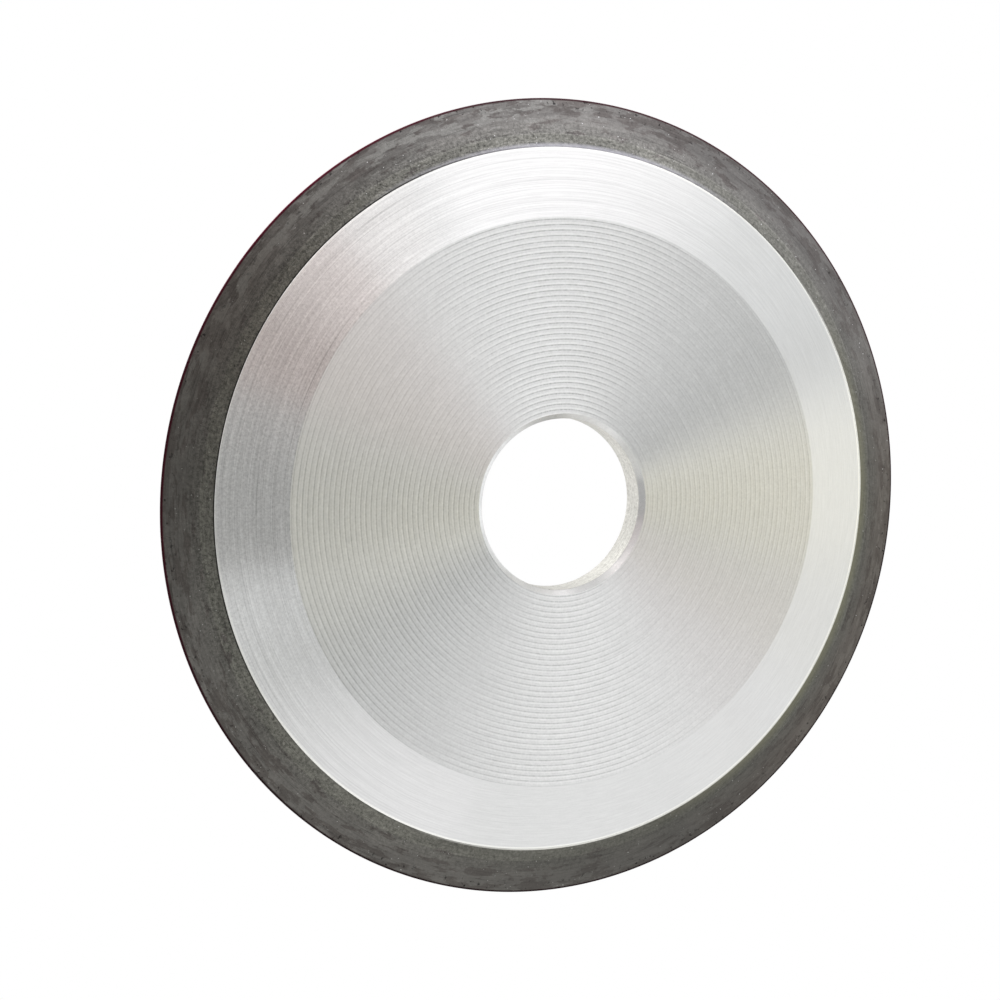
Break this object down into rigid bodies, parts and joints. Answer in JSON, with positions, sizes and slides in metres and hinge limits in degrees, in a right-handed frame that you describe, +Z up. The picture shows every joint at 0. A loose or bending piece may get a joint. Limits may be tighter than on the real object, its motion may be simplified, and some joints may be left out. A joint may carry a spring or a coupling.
{
  "type": "grinding wheel",
  "caption": "Diamond grinding wheel with a plain bore, a flat hub face, a one-sided taper and a thin bonded abrasive rim.",
  "frame": {"origin": "centre of the bore, halfway through the thickness", "axes": "+Y along the spin axis from the tapered front to the flat back, +Z up with the wheel upright"},
  "size_m": [0.15, 0.007, 0.15],
  "materials": {
    "turned_aluminium": "fine-turned, with a spiral facing groove on the hub face",
    "bond_resin": "rough pressed filler, grainy grey-green",
    "diamond_abrasive": "dressed resin-bonded diamond, dull charcoal with fine rings and smears"
  },
  "bodies": {
    "root": {"core": "turned_aluminium", "bond_layer": "bond_resin", "diamond_rim": "diamond_abrasive"}
  },
  "joints": []
}
